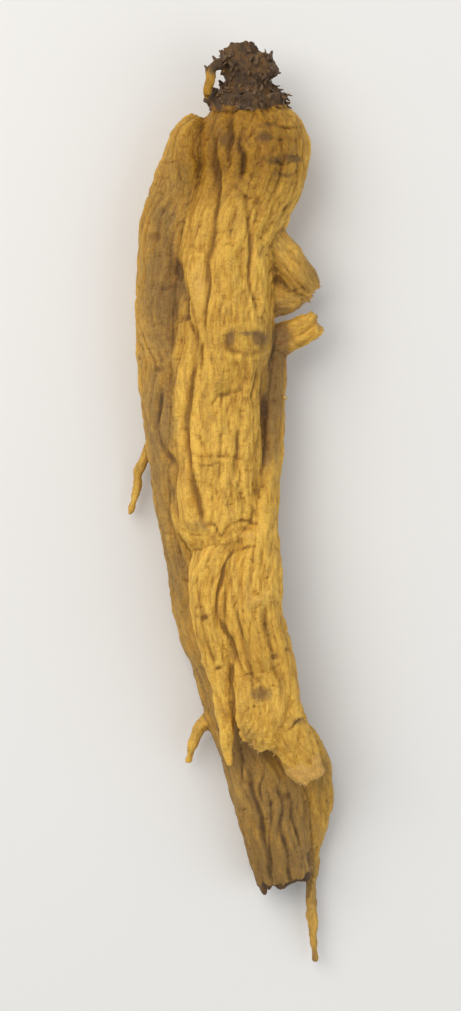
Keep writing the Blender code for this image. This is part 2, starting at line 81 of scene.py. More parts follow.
# The root's form in millimetres, then its limbs as rows of x, y, z of the centre,
# half width and half thickness.
rootForm = {
    "trunkWidth": 12.2,
    "sectionSides": 28,
    "sectionGap": 0.9,
    "voxel": 0.28,
    "softening": 11,  # rounds of smoothing where limbs meet
    "flatSpotDepth": 0.4,
    "barkRidges": 0.27,
    "barkRings": 0.2,
}
half = rootForm["trunkWidth"] / 2
limbRows = {
    "trunk": [  # round head, then the main column down to the fork
        (2.9, 42.6, 6.8, 2.6, 2.4), (2.9, 41.4, 6.6, 4.9, 4.5), (3.0, 39.3, 6.5, 6.5, 6.0),
        (3.1, 36.4, 6.3, 7.1, 6.6), (2.9, 33.4, 6.3, 6.8, 6.5), (1.9, 30.2, 6.4, half + 0.2, 6.0),
        (0.4, 26.4, 6.9, half - 0.2, 5.7), (-0.3, 21.8, 7.2, half, 5.8), (-0.5, 14.6, 7.4, half + 0.2, 5.9),
        (-1.0, 7.3, 7.4, half + 0.1, 5.8), (-1.3, 0.0, 7.4, half - 0.1, 5.6),
        (-1.5, -6.1, 7.6, half - 0.3, 5.2), (-1.1, -10.6, 8.0, half - 0.9, 4.6),
        (-0.8, -13.2, 8.2, half - 2.6, 3.4), (0.4, -17.5, 7.4, half - 3.5, 2.6),
    ],
    "taproot": [  # left shoulder, running down behind the legs to a broken end
        (-3.2, 40.4, 6.0, 1.7, 2.0), (-4.2, 38.9, 5.9, 2.7, 3.1), (-4.8, 35.8, 5.6, 3.2, 3.7),
        (-5.8, 31.6, 5.0, 3.7, 4.2), (-6.9, 27.4, 4.6, 4.1, 4.5), (-7.4, 21.8, 4.5, 4.2, 4.6),
        (-7.5, 15.0, 4.6, 4.1, 4.5), (-7.0, 6.5, 5.0, 4.0, 4.4), (-6.0, -2.4, 5.0, 3.7, 4.1),
        (-5.2, -9.8, 4.6, 3.4, 3.6), (-4.1, -17.1, 3.9, 3.3, 3.1), (-2.2, -24.4, 3.5, 3.5, 3.0),
        (0.7, -31.7, 3.5, 4.1, 3.1), (3.7, -39.0, 3.6, 4.7, 3.5), (5.5, -45.1, 3.8, 4.7, 3.9),
        (6.1, -49.2, 3.8, 4.3, 3.8), (6.7, -52.6, 3.7, 3.9, 3.5), (7.5, -55.4, 3.6, 3.4, 3.1),
    ],
    "right_leg": [  # thick leg, which starts as a strip along the trunk's right side
        (6.2, 14.0, 4.6, 0.9, 1.4), (5.9, 11.7, 5.0, 1.5, 2.4), (5.6, 7.3, 5.4, 1.7, 3.0),
        (5.2, 0.0, 5.9, 1.8, 3.2), (4.6, -7.3, 7.0, 1.9, 3.3), (3.6, -12.2, 8.6, 2.9, 3.6),
        (3.0, -15.9, 9.2, 3.7, 3.5), (2.9, -19.5, 9.5, 3.9, 3.4), (3.8, -24.4, 10.0, 4.0, 3.4),
        (4.6, -29.3, 10.5, 4.1, 3.2), (4.9, -33.7, 10.8, 3.9, 2.9), (4.9, -36.0, 10.6, 3.1, 2.3),
        (5.0, -37.6, 10.3, 1.9, 1.5),
    ],
    "leg_tip": [(5.4, -28.0, 10.6, 2.6, 2.4), (6.5, -33.0, 10.8, 2.7, 2.5), (8.1, -37.0, 10.7, 2.5, 2.1),
                (9.4, -39.6, 10.5, 2.3, 1.8), (10.3, -41.6, 10.2, 2.0, 1.5)],
    "left_leg": [  # thin leg, in front on the left
        (0.0, -11.2, 9.3, 2.0, 2.0), (-1.3, -13.4, 9.8, 2.4, 2.2), (-2.0, -15.9, 10.0, 2.7, 2.3),
        (-2.3, -19.5, 10.0, 2.6, 2.3), (-1.8, -23.2, 10.0, 2.4, 2.3), (-1.0, -26.8, 9.9, 2.0, 1.9),
        (-0.5, -30.5, 9.8, 1.4, 1.5), (-0.2, -34.1, 9.7, 1.1, 1.2), (0.0, -37.4, 9.5, 0.8, 0.85),
        (0.2, -40.1, 9.3, 0.5, 0.5),
    ],
    "crown": [  # short rhizome that the stem grew from, with a ragged collar at its foot
        (2.7, 40.2, 6.8, 4.4, 4.2), (2.6, 42.0, 6.9, 4.7, 4.3), (2.5, 43.1, 6.9, 5.0, 4.4),
        (2.5, 43.9, 7.0, 3.7, 3.5), (2.4, 45.3, 7.2, 2.5, 2.5), (2.0, 46.9, 7.3, 2.9, 2.8),
        (1.5, 48.3, 7.4, 2.3, 2.3), (1.3, 49.4, 7.4, 2.2, 2.1),
    ],
    "stem_scar": [(2.8, 44.8, 7.8, 1.3, 1.4), (4.0, 45.9, 8.8, 1.5, 1.5), (5.0, 46.7, 9.5, 1.8, 1.7),
                  (5.4, 47.0, 9.8, 1.6, 1.5)],
    "crown_rootlet": [(1.0, 46.0, 7.8, 0.8, 0.8), (-0.8, 46.8, 8.7, 0.7, 0.7), (-1.9, 46.2, 9.4, 0.65, 0.65),
                      (-2.1, 44.6, 9.7, 0.7, 0.65), (-2.7, 42.4, 9.6, 0.4, 0.4)],
    "side_root": [(2.6, 27.8, 6.4, 2.6, 3.0), (5.3, 25.0, 6.4, 2.5, 2.8), (7.8, 22.3, 6.3, 2.3, 2.4),
                  (9.8, 20.1, 6.2, 1.9, 1.9), (11.0, 18.8, 6.1, 1.4, 1.4)],
    "side_root_foot": [(4.2, 18.6, 5.6, 2.6, 2.4), (6.4, 18.0, 5.6, 2.3, 2.2), (8.4, 17.9, 5.8, 1.6, 1.7),
                       (9.4, 18.0, 5.9, 1.0, 1.2)],
    "side_chip": [(4.2, 11.8, 5.8, 2.0, 2.0), (6.6, 12.7, 6.1, 2.0, 1.6), (9.2, 13.9, 6.5, 1.9, 1.2),
                  (11.5, 15.0, 6.9, 1.5, 0.9)],
    "tail": [  # branch on the taproot's right, which thins to a long tail
        (6.0, -33.5, 4.2, 1.8, 1.8), (8.8, -36.8, 4.0, 2.2, 2.4), (10.7, -40.5, 3.7, 2.2, 2.4),
        (11.4, -44.6, 3.4, 2.0, 2.2), (11.2, -48.0, 3.0, 1.6, 1.8), (10.8, -51.0, 2.5, 1.1, 1.2),
        (10.7, -54.5, 2.2, 0.9, 0.9), (10.8, -60.0, 2.0, 0.75, 0.75), (11.2, -65.6, 1.8, 0.45, 0.45),
    ],
    "back_rootlet": [(-7.6, 1.5, 3.2, 1.5, 1.5), (-9.9, -0.9, 2.7, 0.85, 0.8), (-11.2, -3.4, 2.4, 0.6, 0.6),
                     (-11.7, -6.3, 2.2, 0.6, 0.55), (-12.5, -9.0, 1.9, 0.35, 0.35)],
    "leg_rootlet": [(0.4, -33.2, 3.9, 1.3, 1.3), (-3.6, -36.2, 3.3, 0.8, 0.8), (-5.0, -40.4, 2.7, 0.45, 0.45)],
}

# Folds that run over the front: depth (minus for a ridge), half width, points.
frontFolds = [
    (0.6, 0.4, [(-6.4, 22.5), (-5.8, 20.0), (-5.1, 15.4), (-3.8, 13.0), (-3.3, 9.8), (-4.4, 6.5),
                (-5.0, 0.0), (-4.6, -3.9), (-3.7, -7.6), (-3.2, -10.4)]),  # beside the trunk's left column
    (0.4, 0.4, [(-8.4, 6.2), (-8.3, 0.2), (-6.8, -3.5), (-6.6, -9.0), (-5.6, -12.6)]),
    (0.3, 0.4, [(1.3, 4.8), (1.4, 0.0), (1.2, -3.8)]),
    (0.6, 0.5, [(0.0, 41.5), (0.1, 37.0), (-0.6, 33.5)]),
    (0.5, 0.45, [(1.4, 40.5), (1.5, 38.3), (1.2, 36.6), (1.9, 35.2), (1.7, 31.5)]),
    (0.42, 0.45, [(-2.0, 38.4), (-1.9, 35.5), (-1.5, 33.0), (-1.0, 29.0), (-2.2, 24.5), (-2.7, 18.5)]),
    (0.35, 0.4, [(3.0, 31.0), (2.4, 27.0), (3.3, 23.5), (3.0, 19.5), (3.9, 16.0)]),
    (-0.22, 1.1, [(-4.0, 21.8), (-3.8, 19.0), (-3.2, 16.0)]),  # raised flake on the left
    # Rings across the trunk
    (0.14, 0.2, [(-4.9, -1.5), (-3.4, -1.9), (-1.8, -1.6), (0.2, -2.0), (1.4, -1.7), (2.6, -2.2)]),
    (-0.12, 0.4, [(-4.9, -0.7), (-2.9, -1.1), (-1.0, -0.8), (1.0, -1.2), (2.4, -1.0)]),
    (0.3, 0.3, [(5.7, 14.0), (4.9, 9.5), (4.5, 2.0), (4.3, -3.0)]),  # along the strip on the right
    (0.22, 0.25, [(-3.4, -10.6), (-1.8, -10.4), (-0.7, -11.6), (0.4, -10.5), (1.9, -9.9), (4.0, -9.8)]),
    (-0.35, 0.45, [(0.2, -12.0), (1.6, -11.6), (2.9, -11.3), (4.0, -11.2)]),
    (0.3, 0.26, [(4.0, -12.7), (2.4, -12.9), (1.2, -13.6), (0.0, -14.8), (-0.9, -17.8), (-0.8, -21.0),
                 (0.0, -23.4), (0.6, -26.0), (0.9, -30.0), (1.1, -35.0)]),  # crease between the two front legs
    (-0.4, 0.5, [(2.0, -20.1), (3.6, -19.4), (5.2, -18.5)]),  # thick leg
    (0.3, 0.17, [(6.9, -35.2), (7.6, -35.0), (8.4, -34.4), (9.6, -34.0)]),
    (0.3, 0.35, [(1.1, -19.0), (1.6, -23.5), (2.6, -28.0), (3.4, -33.0)]),
    (0.3, 0.35, [(4.7, -21.0), (5.8, -25.8), (6.6, -31.0)]),
    # Taproot below the legs
    (0.5, 0.45, [(2.7, -41.0), (2.9, -44.0), (4.1, -47.5), (4.7, -52.0), (5.6, -55.6)]),
    (0.45, 0.45, [(6.0, -42.0), (6.9, -45.0), (6.6, -48.5), (7.7, -52.0), (8.4, -55.2)]),
    # Finer creases that only the finished skin has
    (0.3, 0.2, [(5.0, 39.0), (7.0, 38.6), (8.9, 38.9)]),
    (0.35, 0.2, [(4.9, 35.1), (6.6, 34.4), (8.7, 34.9)]),
    (0.25, 0.18, [(5.4, 33.6), (7.2, 33.0), (8.9, 33.5)]),
    (0.3, 0.2, [(4.2, 37.2), (5.6, 36.8), (7.6, 37.3)]),
    (-0.15, 0.25, [(-5.8, 22.4), (-4.1, 22.9), (-2.4, 22.3)]),  # upper lip of the flake
    (0.25, 0.25, [(-2.3, 21.4), (-2.2, 18.4), (-2.7, 16.0), (-3.3, 14.6)]),
    (0.2, 0.3, [(-9.3, 19.3), (-7.7, 18.9), (-6.2, 19.2)]),
    (0.14, 0.16, [(-4.8, -2.6), (-2.6, -2.9), (-0.6, -2.6), (1.0, -2.9)]),
    (0.12, 0.2, [(-0.6, 8.6), (-0.9, 4.0), (-0.6, -1.0), (-1.4, -6.5)]),
    (0.12, 0.2, [(3.1, 9.0), (3.3, 3.0), (2.7, -4.0), (2.9, -8.6)]),
    (-0.25, 0.2, [(1.9, -18.5), (3.4, -19.1), (4.6, -20.0), (5.4, -19.6)]),
    (0.12, 0.16, [(-3.7, -15.8), (-3.4, -19.0), (-3.0, -23.0), (-1.9, -27.4)]),
    (0.12, 0.16, [(-1.6, -14.8), (-1.9, -18.4), (-1.6, -22.4), (-0.6, -27.0), (-0.2, -32.0)]),
    (0.3, 0.22, [(5.0, -43.9), (5.4, -47.0), (4.9, -50.4), (5.6, -54.0)]),
    (0.3, 0.22, [(7.4, -42.3), (8.3, -45.0), (8.5, -47.1), (9.1, -50.4)]),
    (0.25, 0.2, [(1.3, -36.0), (2.0, -39.0), (1.8, -42.0), (2.9, -46.0)]),
    (0.2, 0.2, [(4.2, -38.6), (4.6, -41.0), (3.9, -43.5), (4.4, -46.0)]),
]
# Oval scars of lost rootlets: x, y, half width, half height.
ovalScars = [(2.2, 12.2, 2.6, 1.7), (5.2, 46.9, 1.5, 1.4)]
# Small dark pits: x, y, half width, half height, depth.
pits = [
    (-2.9, -21.5, 0.75, 0.42, 0.45), (-1.2, -27.8, 0.55, 0.35, 0.4), (-0.4, 37.1, 0.7, 0.9, 0.35),
    (4.5, 37.2, 0.9, 0.6, 0.3), (-5.4, 15.2, 0.8, 0.45, 0.35), (5.9, 4.9, 0.45, 0.4, 0.15),
    (4.3, -30.8, 0.9, 0.7, 0.25), (5.9, -26.2, 0.5, 0.35, 0.25), (-8.6, 9.0, 0.6, 0.4, 0.3),
    (-8.9, 25.5, 0.6, 0.5, 0.3), (7.4, -44.0, 0.6, 0.5, 0.3),
]


def noiseAt(x, y, z):
    return noise.noise(Vector((x, y, z)))


def bell(distance, width):
    return np.exp(-((distance / width) ** 2))


def throughPoints(rows, gap):
    rows = np.array(rows, float)
    steps = np.linalg.norm(np.diff(rows[:, :3], axis=0), axis=1)
    reach = np.concatenate([[0.0], np.cumsum(steps)])
    slopes = np.gradient(rows, reach, axis=0)
    at = np.linspace(0.0, reach[-1], max(3, round(reach[-1] / gap) + 1))
    span = np.clip(np.searchsorted(reach, at, side="right") - 1, 0, len(reach) - 2)
    length = (reach[span + 1] - reach[span])[:, None]
    t = (at - reach[span])[:, None] / length
    return ((2 * t**3 - 3 * t**2 + 1) * rows[span] + (t**3 - 2 * t**2 + t) * length * slopes[span]
            + (3 * t**2 - 2 * t**3) * rows[span + 1] + (t**3 - t**2) * length * slopes[span + 1])


def unitVectors(vectors):
    return vectors / np.linalg.norm(vectors, axis=-1, keepdims=True)


class Limb:  # a tapering tube, with the frame that its wrinkles follow
    def __init__(self, rows):
        rows = throughPoints(rows, rootForm["sectionGap"])
        self.centre, self.half = rows[:, :3], rows[:, 3:]
        steps = np.linalg.norm(np.diff(self.centre, axis=0), axis=1)
        self.along = np.concatenate([[0.0], np.cumsum(steps)])
        self.tangent = unitVectors(np.gradient(self.centre, axis=0))
        self.side = unitVectors(np.cross(self.tangent, (0.0, 0.0, 1.0)))
        self.up = np.cross(self.side, self.tangent)

    def mesh(self, name):
        sides = rootForm["sectionSides"]
        turn = np.linspace(0.0, 2 * np.pi, sides, endpoint=False)
        bm = bmesh.new()
        rings = []
        for centre, side, up, (width, thickness) in zip(self.centre, self.side, self.up, self.half):
            ring = [centre + side * width * np.cos(a) + up * thickness * np.sin(a) for a in turn]
            rings.append([bm.verts.new(point) for point in ring])
        for lower, upper in zip(rings, rings[1:]):
            for i in range(sides):
                j = (i + 1) % sides
                bm.faces.new((lower[i], lower[j], upper[j], upper[i]))
        bm.faces.new(rings[0])
        bm.faces.new(rings[-1])
        bmesh.ops.recalc_face_normals(bm, faces=bm.faces)
        mesh = bpy.data.meshes.new(name)
        bm.to_mesh(mesh)
        bm.free()
        return mesh

    def coordinates(self, points):  # radii from the axis, then the place across, above and along
        squares = (self.centre**2).sum(axis=1)[None] - 2 * points @ self.centre.T
        nearest = np.argmin(squares, axis=1)
        offset = points - self.centre[nearest]
        across = (offset * self.side[nearest]).sum(axis=1)
        above = (offset * self.up[nearest]).sum(axis=1)
        beyond = (offset * self.tangent[nearest]).sum(axis=1)
        width, thickness = self.half[nearest].T
        radii = np.sqrt((across / width) ** 2 + (above / thickness) ** 2 + (beyond / width) ** 2)
        return radii, across, above, self.along[nearest] + beyond, width


def newObject(name, mesh, collection=None):
    obj = bpy.data.objects.new(name, mesh)
    (collection or bpy.context.scene.collection).objects.link(obj)
    return obj


def plainMesh(obj):  # what the modifiers make, as a mesh of its own
    graph = bpy.context.evaluated_depsgraph_get()
    made = bpy.data.meshes.new_from_object(obj.evaluated_get(graph))
    obj.modifiers.clear()
    obj.data = made
    return made


def vertexArray(mesh, attribute):
    values = np.empty(len(mesh.vertices) * 3, np.float32)
    mesh.vertices.foreach_get(attribute, values)
    return values.reshape(-1, 3).astype(float)


def joinLimbs(limbs):  # one closed skin round every limb, with the forks softened
    names = list(limbs)
    root = newObject("root_skin", limbs[names[0]].mesh(names[0]))
    others = bpy.data.collections.new("limbs")
    bpy.context.scene.collection.children.link(others)
    for name in names[1:]:
        newObject(name, limbs[name].mesh(name), others)
    union = root.modifiers.new("joinLimbs", "BOOLEAN")
    union.operation = "UNION"
    union.operand_type = "COLLECTION"
    union.collection = others
    union.solver = "EXACT"
    melt = root.modifiers.new("melt", "REMESH")
    melt.mode = "VOXEL"
    melt.voxel_size = rootForm["voxel"]
    soften = root.modifiers.new("soften", "SMOOTH")
    soften.factor = 0.5
    soften.iterations = rootForm["softening"]
    plainMesh(root)
    for obj in list(others.objects):
        bpy.data.objects.remove(obj)
    bpy.data.collections.remove(others)
    return root


foldForm = {
    "pointGap": 0.4,
    "sway": 0.7, "swayWide": 3.0, "swayTall": 4.5,  # how far and how often a fold wanders
    "change": 0.9, "changeWide": 2.0, "changeTall": 4.0,  # how much its depth changes
    "endShare": 0.3, "taper": 2.4,  # depth left at its ends, and how soon it is whole
    "creaseShade": 0.35,
    "ridgeFrom": 0.2,  # a ridge at least this high counts as a raised lip
}
scarForm = {
    "ringAt": 0.85, "ringWidth": 0.22, "ringDepth": 0.3,
    "lipAt": 1.25, "lipHeight": 0.15,
    "smudgeAt": 0.9, "smudgeWidth": 0.14,
    "ragged": (2.0, 0.4, 0.9, 1.3, 4.0),  # reach, amount, wide, tall, seed of the edge's wander
    "calmReach": 1.4, "calmShare": 0.7,  # wrinkles are calmer inside it
}
pitForm = {
    "depthShare": 0.8, "shadeShare": 0.8, "rimAt": 1.5, "rimWidth": 0.4, "rimHeight": 0.08,
    "ragged": (3.0, 1.1, 1.1, 1.5, 2.0),
}


def distanceToLine(points, line):  # in plan, then how far along the line its nearer end is
    rows = throughPoints([(x, y, 0.0) for x, y in line], foldForm["pointGap"])[:, :2]
    start, step = rows[:-1], np.diff(rows, axis=0)
    gap = points[:, None, :2] - start[None]
    share = np.clip((gap * step).sum(axis=2) / (step**2).sum(axis=1), 0.0, 1.0)
    squares = ((gap - share[..., None] * step) ** 2).sum(axis=2)
    each, nearest = np.arange(len(points)), squares.argmin(axis=1)
    lengths = np.linalg.norm(step, axis=1)
    along = (np.cumsum(lengths) - lengths)[nearest] + share[each, nearest] * lengths[nearest]
    return np.sqrt(squares[each, nearest]), np.minimum(along, lengths.sum() - along)


def swayedPlan(points):  # so that no fold runs quite straight or keeps one depth
    plan = points[:, :2].copy()
    share = np.ones(len(points))
    form = foldForm
    for i, (x, y, _) in enumerate(points):
        wide, tall = x / form["swayWide"], y / form["swayTall"]
        plan[i, 0] += form["sway"] * noiseAt(wide, tall, 1.3)
        plan[i, 1] += form["sway"] * noiseAt(wide, tall, 5.1)
        share[i] += form["change"] * noiseAt(x / form["changeWide"], y / form["changeTall"], 7.7)
    return plan, share


def ovalRadius(points, x, y, halfWidth, halfHeight):
    return np.hypot((points[:, 0] - x) / halfWidth, (points[:, 1] - y) / halfHeight)


def raggedRadius(radius, points, reach, amount, wide, tall, seed):  # an oval whose edge wanders
    ragged = radius.copy()
    for i in np.flatnonzero(radius < reach):
        ragged[i] += amount * noiseAt(points[i, 0] * wide, points[i, 1] * tall, seed)
    return ragged


def foldHeights(points, facing):
    height, raised, creased, calm, pitted = np.zeros((5, len(points)))
    plan, share = swayedPlan(points)
    for depth, halfWidth, line in frontFolds:
        low, high = np.min(line, axis=0) - 3 * halfWidth, np.max(line, axis=0) + 3 * halfWidth
        inReach = ((points[:, :2] > low) & (points[:, :2] < high)).all(axis=1)
        near = np.flatnonzero((facing > 0) & inReach)
        distance, toEnd = distanceToLine(plan[near], line)
        taper = np.clip(foldForm["endShare"] + toEnd / foldForm["taper"], 0.0, 1.0)
        fold = share[near] * bell(distance, halfWidth) * taper
        height[near] -= depth * fold
        if depth < -foldForm["ridgeFrom"]:
            raised[near] = np.maximum(raised[near], fold)
        elif depth > 0:
            creased[near] = np.maximum(creased[near], min(1.0, foldForm["creaseShade"] + depth) * fold**2)
    for x, y, halfWidth, halfHeight in ovalScars:
        radius = ovalRadius(points, x, y, halfWidth, halfHeight)
        turn = np.arctan2(points[:, 1] - y, points[:, 0] - x)
        ring = bell(radius - scarForm["ringAt"], scarForm["ringWidth"])
        height -= scarForm["ringDepth"] * ring * (0.5 + 0.5 * np.sin(2 * turn + 1.0))
        height += scarForm["lipHeight"] * bell(radius - scarForm["lipAt"], scarForm["ringWidth"])
        smudge = raggedRadius(radius, points, *scarForm["ragged"]) - scarForm["smudgeAt"]
        smudge = bell(smudge, scarForm["smudgeWidth"]) * np.clip(0.45 - 0.6 * np.sin(turn), 0.0, 1.0)
        creased = np.maximum(creased, smudge)
        calm = np.maximum(calm, np.exp(-((radius / scarForm["calmReach"]) ** 4)))
    for x, y, halfWidth, halfHeight, depth in pits:
        radius = ovalRadius(points, x, y, halfWidth, halfHeight)
        radius = np.maximum(raggedRadius(radius, points, *pitForm["ragged"]), 0.0)
        hole, rim = bell(radius, 1.0), bell(radius - pitForm["rimAt"], pitForm["rimWidth"])
        height -= pitForm["depthShare"] * depth * hole - pitForm["rimHeight"] * rim
        pitted = np.maximum(pitted, pitForm["shadeShare"] * hole)
    return height * facing, raised * facing, creased * facing, calm * facing, pitted * facing


endForm = {
    "bowls": {"taproot": 1.6, "right_leg": 0.2, "leg_tip": 0.5, "side_root": 0.5, "side_chip": 0.4,
              "crown": 0.5},  # depth of the hollow where the limb has snapped off
    "bowlReach": 0.6,
    "raggedRim": 0.8,
    "fibrousRim": 0.3,
    "rimSeed": 4.7,
    "bareTips": {"leg_tip": 3.4, "side_root": 0.6, "side_chip": 0.8},  # length of bare wood
    "bareEdge": 1.6,
    "endShadeLength": 1.1,
    "endShadeEdge": 0.9,
    "tailClear": 0.75,  # keeps the painted end shadow off the tail beside it
}


def brokenEnds(points, normals, limbs):  # ragged rims and shallow bowls where limbs have snapped off
    height, torn, frayed, endShade = np.zeros((4, len(points)))
    form = endForm
    for name, bowl in form["bowls"].items():
        limb = limbs[name]
        offset = points - limb.centre[-1]
        across, above, beyond = offset @ limb.side[-1], offset @ limb.up[-1], offset @ limb.tangent[-1]
        width, thickness = limb.half[-1]
        radius = np.hypot(across / width, above / thickness)
        if name in form["bareTips"]:
            for i in np.flatnonzero((radius < 1.7) & (beyond > -6.0)):
                edge = form["bareTips"][name] + form["bareEdge"] * noiseAt(across[i] * 0.7, above[i] * 0.7, 3.0)
                torn[i] = max(torn[i], min(1.0, max(0.0, 0.8 * (beyond[i] + edge))))
        # The taproot's broken end and a short band above it are painted dark: painted shadow.
        if name == "taproot":
            own = limb.coordinates(points)[0] < form["tailClear"] * limbs["tail"].coordinates(points)[0]
            edge = beyond + form["endShadeLength"]
            for i in np.flatnonzero((edge > -2.0) & (radius < 1.5)):
                edge[i] += form["endShadeEdge"] * noiseAt(across[i] * 0.9, above[i] * 0.9, 8.0)
            endShade = np.clip(edge * 1.3, 0.0, 1.0) * (radius < 1.4) * own
        facing = np.clip(normals @ limb.tangent[-1], 0.0, 1.0)
        near = (radius < 1.5) & (np.abs(beyond) < width)
        for i in np.flatnonzero(near & (facing > 0)):
            ragged = noiseAt(across[i], above[i], form["rimSeed"])
            fibrous = noiseAt(across[i] * 3.1, above[i] * 3.1, 2.0)
            height[i] += facing[i] * (form["raggedRim"] * ragged + form["fibrousRim"] * fibrous
                                      - bowl * math.exp(-((radius[i] / form["bowlReach"]) ** 2)))
            if name == "taproot":
                endShade[i] = max(endShade[i], own[i] * facing[i] ** 0.5)
            elif name != "crown":
                torn[i] = max(torn[i], facing[i])
                frayed[i] = max(frayed[i], facing[i])
    return height, torn, frayed, endShade


wrinkleForm = {
    "seed": 4.7,
    "pitches": [  # pitch, height, stretch along the limb
        (3.2, 0.36, 4.5), (1.6, 0.34, 5.0), (0.9, 0.2, 3.6), (0.5, 0.11, 3.4)],
    "fit": 1.07,  # full height where the limb's half width times this reaches the pitch
    "swayAcross": 2.2, "swayAbove": 1.6, "swaySize": 9.0, "swayLength": 7.0,
    "creaseShare": 0.6, "swellShare": 0.8,
    "lumps": 0.32, "lumpsBelow": 1.4,  # on limbs with a smaller half width
    "ringPitch": 1.9, "ringDepth": 0.16, "ringWidth": 0.16, "ringFrom": 0.16,
}


def wrinkleHeight(across, above, along, width, number):  # creases between rounded ridges
    form = wrinkleForm
    shift = form["seed"] + 13.1 * number
    sway = noiseAt(across / form["swaySize"], above / form["swaySize"] + shift, along / form["swayLength"])
    height = 0.0
    for pitch, rise, stretch in form["pitches"]:
        place = Vector(((across + form["swayAcross"] * sway) / pitch + shift,
                        (above - form["swayAbove"] * sway) / pitch, along / (pitch * stretch) - shift))
        crease = min(1.0, 2.4 * abs(noise.noise(place))) ** 0.8 - 0.55
        swell = noise.noise(place + Vector((31.0, 17.0, 5.0)))
        height += (rise * min(1.0, width * form["fit"] / pitch)
                   * (form["creaseShare"] * crease + form["swellShare"] * swell))
    thinness = max(0.0, form["lumpsBelow"] - width)
    height += form["lumps"] * thinness * noiseAt(across / 1.5, above / 1.5, along / 1.3 + shift)
    # Short rings across the limb, broken up round it
    ring = along / form["ringPitch"] + 0.8 * noiseAt(across / 3.0, above / 3.0, along / 5.0 + shift)
    part = noiseAt(across / 1.8 + shift, above / 1.8, math.floor(ring) * 3.7) - form["ringFrom"]
    if part > 0:
        off = (ring % 1.0 - 0.5) * form["ringPitch"] / form["ringWidth"]
        height -= (form["ringDepth"] * min(1.0, width / 3.0) * min(1.0, part * 6.0)
                   * math.exp(-off * off))
    return height


# How dark each limb's skin is painted at its start and its end, and how soon it turns: partly a duskier skin,
# mostly painted shade where the limb lies behind or under other roots.
limbShadeTone = {
    "crown": (0.1, 0.3, 1.0), "crown_rootlet": (0.4, 0.15, 1.0),
    "taproot": (0.22, 0.68, 0.9), "tail": (0.3, 0.5, 1.0),
    "side_root": (0.3, 0.44, 1.0), "side_root_foot": (0.4, 0.5, 1.0), "side_chip": (0.2, 0.0, 1.0),
    "right_leg": (0.4, 0.0, 0.7), "leg_tip": (0.0, 0.05, 1.0),
    "back_rootlet": (0.3, 0.2, 1.0), "leg_rootlet": (0.3, 0.2, 1.0),
}


def limbSkin(points, limbs):  # wrinkles and painted-shade tone of each limb, blended where two limbs meet
    found = [limb.coordinates(points) for limb in limbs.values()]
    radii = np.array([row[0] for row in found])
    weight = np.exp(-6.0 * (radii - radii.min(axis=0)))
    weight[weight < 0.05] = 0.0
    weight /= weight.sum(axis=0)
    height = np.zeros(len(points))
    tone = np.zeros(len(points))
    for number, (name, limb) in enumerate(limbs.items()):
        _, across, above, along, width = found[number]
        for i in np.flatnonzero(weight[number]):
            height[i] += weight[number][i] * wrinkleHeight(across[i], above[i], along[i], width[i], number)
        start, end, power = limbShadeTone.get(name, (0.0, 0.0, 1.0))
        tone += weight[number] * (start + (end - start) * np.clip(along / limb.along[-1], 0.0, 1.0) ** power)
    names = list(limbs)
    barky = [names.index("crown"), names.index("stem_scar")]
    edge = np.delete(radii, barky, axis=0).min(axis=0) - radii[barky].min(axis=0)
    for i in np.flatnonzero(np.abs(edge) < 0.6):  # ragged border between bark and skin
        x, y, z = points[i]
        edge[i] += 0.35 * noiseAt(x * 0.9, y * 0.3, z * 0.9)
    barked = np.clip(edge * 3.0 + 0.5, 0.0, 1.0)
    rootlet = names.index("crown_rootlet")  # its first half is barked too
    length = limbs["crown_rootlet"].along[-1]
    barked = np.maximum(barked, weight[rootlet] * np.clip(1.75 - 2.1 * found[rootlet][3] / length, 0.0, 1.0))
    nearest = radii.argmin(axis=0)
    place = np.array([row[1:4] for row in found])[nearest, :, np.arange(len(points))]
    place[:, 2] += 40.0 * nearest  # so that no two limbs share a pattern
    return height, tone, barked, place


def hollowness(points, normals, edges, rounds):  # how far a point lies below its smoothed surroundings
    smooth = points.copy()
    count = np.bincount(edges.ravel(), minlength=len(points))[:, None]
    for _ in range(rounds):
        total = np.zeros_like(smooth)
        for axis in range(3):
            total[:, axis] = (np.bincount(edges[:, 0], smooth[edges[:, 1], axis], len(points))
                              + np.bincount(edges[:, 1], smooth[edges[:, 0], axis], len(points)))
        smooth = 0.4 * smooth + 0.6 * total / count
    return ((smooth - points) * normals).sum(axis=1)


def setAttribute(mesh, name, values):
    vector = values.ndim == 2
    attribute = mesh.attributes.new(name, "FLOAT_VECTOR" if vector else "FLOAT", "POINT")
    attribute.data.foreach_set("vector" if vector else "value", values.astype(np.float32).ravel())
